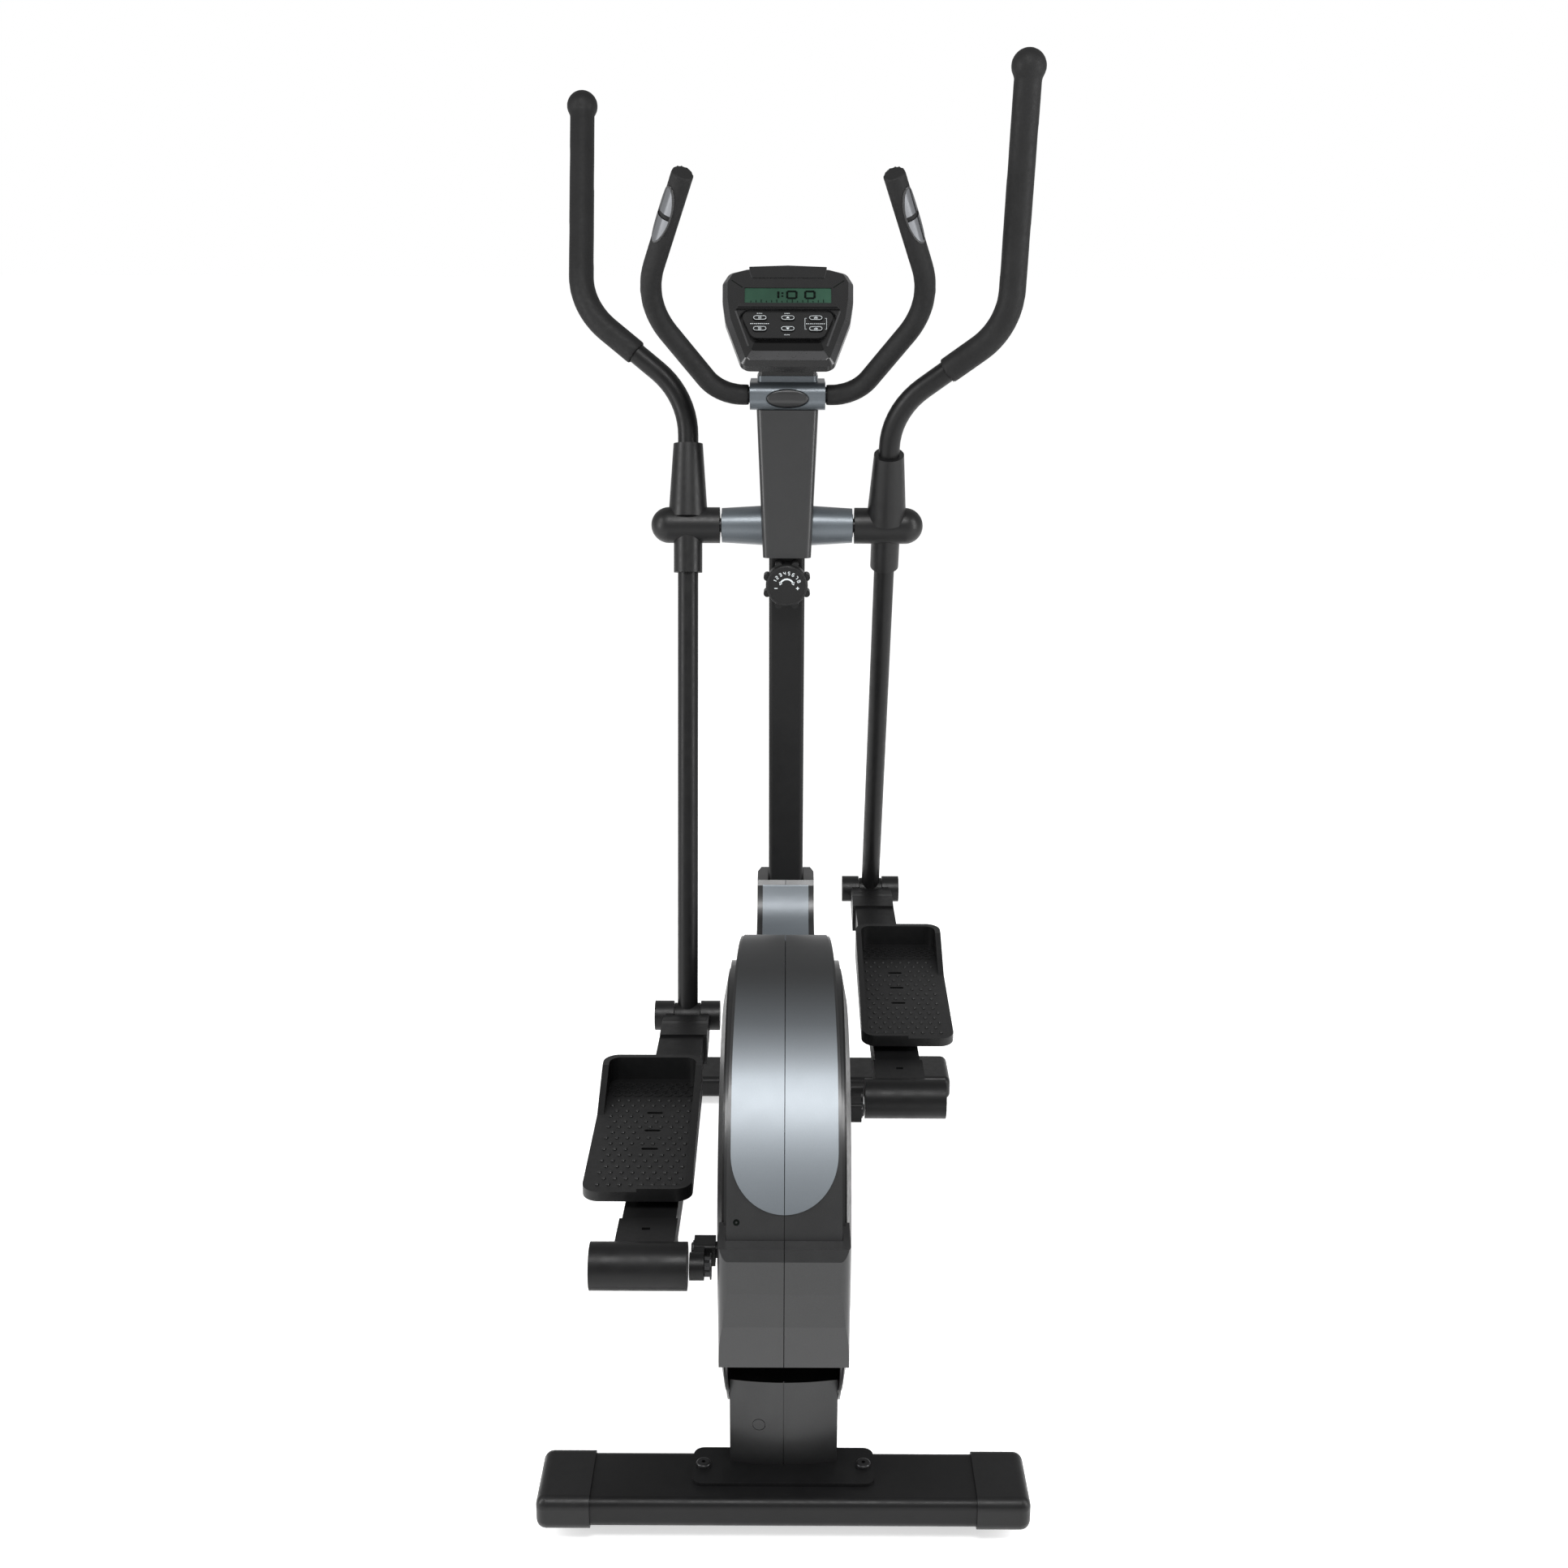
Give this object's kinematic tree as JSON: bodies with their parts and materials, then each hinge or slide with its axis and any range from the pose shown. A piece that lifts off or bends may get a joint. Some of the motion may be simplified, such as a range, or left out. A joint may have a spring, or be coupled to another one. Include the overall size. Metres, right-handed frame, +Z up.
{
  "type": "elliptical trainer",
  "caption": "Rear-drive elliptical trainer with swinging arm levers, foot trays on pedal arms, round crank discs in a tapered casing, fixed pulse handlebar and console",
  "frame": {"origin": "on the floor, under the middle of the machine's footprint", "axes": "+X to the user's right, +Y towards the front of the machine (the way the user faces), +Z up"},
  "size_m": [0.634, 1.2074, 1.6247],
  "materials": {
    "frame_black": "satin black powder coat",
    "plastic_black": "fine-grained black moulded plastic",
    "rubber_black": "matte moulded rubber",
    "wheel_black": "hard black plastic tread",
    "steel": "zinc plated turned steel",
    "pulley_gray": "moulded glass-filled nylon",
    "belt_rubber": "ribbed rubber belt",
    "cast_gray": "machined cast iron",
    "casing_gray": "dark warm gray metallic paint",
    "insert_silver": "blue-gray metallic paint",
    "foam_black": "closed-cell foam sleeve",
    "chrome": "polished contact plate",
    "lens": "clear window over a dark green display",
    "cable_black": "black sleeve",
    "key_dark": "soft-touch keys"
  },
  "bodies": {
    "root": {"rear_stabilizer": "frame_black", "front_stabilizer": "frame_black", "end_caps": "plastic_black", "rubber_feet": "rubber_black", "mount_plates": "frame_black", "fasteners": "steel", "main_beam": "frame_black", "crank_post": "frame_black", "flywheel_fork": "frame_black", "shaft_bearings": "steel", "mast": "frame_black", "pivot_shaft": "steel", "drive_belt": "belt_rubber", "casing_left": "casing_gray", "casing_right": "casing_gray", "casing_inserts": "insert_silver", "rear_cover": "casing_gray", "leg_cover": "casing_gray", "column_cover": "casing_gray", "pivot_bosses": "insert_silver", "clamp_cover": "insert_silver", "handlebar": "frame_black", "handlebar_foam": "foam_black", "pulse_plates": "chrome", "console_body": "plastic_black", "console_back": "plastic_black", "console_lens": "lens", "console_neck": "plastic_black", "knob_base": "plastic_black", "tension_cable": "cable_black"},
    "cranks": {"crank_axle": "steel", "drive_pulley": "pulley_gray", "crank_disc_left": "plastic_black", "crank_disc_right": "plastic_black", "crank_arm_left": "frame_black", "crank_arm_right": "frame_black"},
    "flywheel_set": {"flywheel": "cast_gray", "flywheel_axle": "steel"},
    "magnet_yoke": {"magnet_bracket": "cast_gray"},
    "knob": {"tension_knob": "plastic_black"},
    "left_lever": {"lever_left": "frame_black", "lever_cover_left": "plastic_black", "grip_left": "foam_black"},
    "right_lever": {"lever_right": "frame_black", "lever_cover_right": "plastic_black", "grip_right": "foam_black"},
    "left_arm": {"pedal_arm_left": "frame_black", "arm_covers_left": "plastic_black", "pedal_left": "plastic_black"},
    "right_arm": {"pedal_arm_right": "frame_black", "arm_covers_right": "plastic_black", "pedal_right": "plastic_black"},
    "left_transport": {"transport_wheel_left": "wheel_black"},
    "right_transport": {"transport_wheel_right": "wheel_black"},
    "key_1": {"button_1": "key_dark"},
    "key_2": {"button_2": "key_dark"},
    "key_3": {"button_3": "key_dark"},
    "key_4": {"button_4": "key_dark"},
    "key_5": {"button_5": "key_dark"},
    "key_6": {"button_6": "key_dark"}
  },
  "joints": [
    {"name": "crank_turn", "type": "hinge", "parent": "root", "child": "cranks", "pos_m": [0, -0.30725, 0.328], "axis": [-1, 0, 0], "range_deg": [0, 180]},
    {"name": "left_lever_swing", "type": "hinge", "parent": "root", "child": "left_lever", "pos_m": [-0.1385, 0.29075, 1.013], "axis": [1, 0, 0], "range_deg": [-0.02, 36.25]},
    {"name": "right_lever_swing", "type": "hinge", "parent": "root", "child": "right_lever", "pos_m": [0.1385, 0.29075, 1.013], "axis": [1, 0, 0], "range_deg": [-36.25, 0.02]},
    {"name": "left_arm_swing", "type": "hinge", "parent": "left_lever", "child": "left_arm", "pos_m": [-0.1385, 0.13037, 0.33881], "axis": [1, 0, 0], "range_deg": [-31.8, 0.02]},
    {"name": "right_arm_swing", "type": "hinge", "parent": "right_lever", "child": "right_arm", "pos_m": [0.1385, 0.55989, 0.3744], "axis": [1, 0, 0], "range_deg": [-0.02, 31.8]},
    {"name": "flywheel_spin", "type": "hinge", "parent": "root", "child": "flywheel_set", "pos_m": [0, 0.11475, 0.3], "axis": [-1, 0, 0], "continuous": true},
    {"name": "tension_turn", "type": "hinge", "parent": "root", "child": "knob", "pos_m": [0, 0.26175, 0.937], "axis": [0, -1, 0], "range_deg": [-315, 0]},
    {"name": "magnet_swing", "type": "hinge", "parent": "root", "child": "magnet_yoke", "pos_m": [0, 0.08475, 0.152], "axis": [-1, 0, 0], "range_deg": [-0.01, 5.01]},
    {"name": "left_transport_roll", "type": "hinge", "parent": "root", "child": "left_transport", "pos_m": [-0.262, 0.57875, 0.025], "axis": [1, 0, 0], "continuous": true},
    {"name": "right_transport_roll", "type": "hinge", "parent": "root", "child": "right_transport", "pos_m": [0.262, 0.57875, 0.025], "axis": [1, 0, 0], "continuous": true},
    {"name": "key_1_press", "type": "slide", "parent": "root", "child": "key_1", "axis": [0, 0.7071, -0.7071], "range_m": [0, 0.0012], "stiffness_N_per_m": 400},
    {"name": "key_2_press", "type": "slide", "parent": "root", "child": "key_2", "axis": [0, 0.7071, -0.7071], "range_m": [0, 0.0012], "stiffness_N_per_m": 400},
    {"name": "key_3_press", "type": "slide", "parent": "root", "child": "key_3", "axis": [0, 0.7071, -0.7071], "range_m": [0, 0.0012], "stiffness_N_per_m": 400},
    {"name": "key_4_press", "type": "slide", "parent": "root", "child": "key_4", "axis": [0, 0.7071, -0.7071], "range_m": [0, 0.0012], "stiffness_N_per_m": 400},
    {"name": "key_5_press", "type": "slide", "parent": "root", "child": "key_5", "axis": [0, 0.7071, -0.7071], "range_m": [0, 0.0012], "stiffness_N_per_m": 400},
    {"name": "key_6_press", "type": "slide", "parent": "root", "child": "key_6", "axis": [0, 0.7071, -0.7071], "range_m": [0, 0.0012], "stiffness_N_per_m": 400}
  ],
  "couplings": [
    {"joint": "left_lever_swing", "follows": "crank_turn", "ratio": 0.2013},
    {"joint": "right_lever_swing", "follows": "crank_turn", "ratio": -0.2013},
    {"joint": "left_arm_swing", "follows": "crank_turn", "ratio": -0.17659},
    {"joint": "right_arm_swing", "follows": "crank_turn", "ratio": 0.17659},
    {"joint": "flywheel_spin", "follows": "crank_turn", "ratio": 7.2222},
    {"joint": "magnet_swing", "follows": "tension_turn", "ratio": -0.015873}
  ]
}
